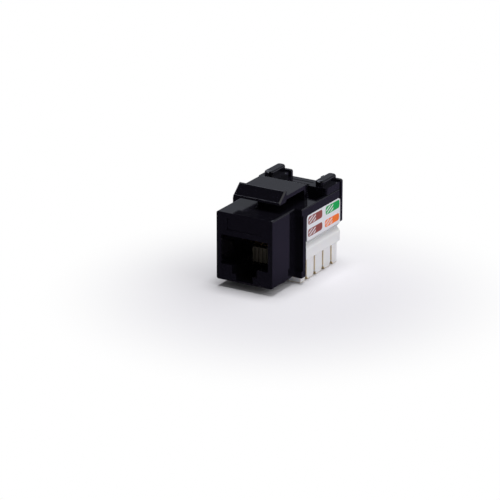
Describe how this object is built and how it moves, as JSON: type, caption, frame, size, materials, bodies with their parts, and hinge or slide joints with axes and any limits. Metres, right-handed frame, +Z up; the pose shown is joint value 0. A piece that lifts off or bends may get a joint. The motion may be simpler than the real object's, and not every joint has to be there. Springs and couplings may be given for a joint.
{
  "type": "keystone jack",
  "caption": "Black snap-in keystone jack with an eight-way modular socket, a sprung latch and a white punch-down terminal block facing down.",
  "frame": {"origin": "centre of the jack's footprint, at the level of the terminal posts' feet", "axes": "+Z up to the latch, -Y out of the socket's mouth, +X to the side with the label"},
  "size_m": [0.0186, 0.0284, 0.0226],
  "materials": {
    "black_plastic": "moulded, semi-gloss black",
    "white_plastic": "moulded, satin white",
    "ivory_plastic": "moulded, natural ivory",
    "board_laminate": "green board with masked copper tracks",
    "label_film": "printed white film",
    "contact_metal": "gold-plated spring wire",
    "terminal_metal": "tin-plated bronze"
  },
  "bodies": {
    "jack": {"housing": "black_plastic", "rear_cover": "black_plastic", "terminal_block": "white_plastic", "contact_carrier": "ivory_plastic", "circuit_board": "board_laminate", "colour_label": "label_film", "contact_1": "contact_metal", "contact_2": "contact_metal", "contact_3": "contact_metal", "contact_4": "contact_metal", "contact_5": "contact_metal", "contact_6": "contact_metal", "contact_7": "contact_metal", "contact_8": "contact_metal", "idc_terminal_1": "terminal_metal", "idc_terminal_2": "terminal_metal", "idc_terminal_3": "terminal_metal", "idc_terminal_4": "terminal_metal", "idc_terminal_5": "terminal_metal", "idc_terminal_6": "terminal_metal", "idc_terminal_7": "terminal_metal", "idc_terminal_8": "terminal_metal"},
    "latch": {"latch": "black_plastic"}
  },
  "joints": [
    {"name": "latch_flex", "type": "hinge", "parent": "jack", "child": "latch", "pos_m": [0, 0.00275, 0.018], "axis": [1, 0, 0], "range_deg": [0, 9], "stiffness_Nm_per_rad": 0.6}
  ]
}
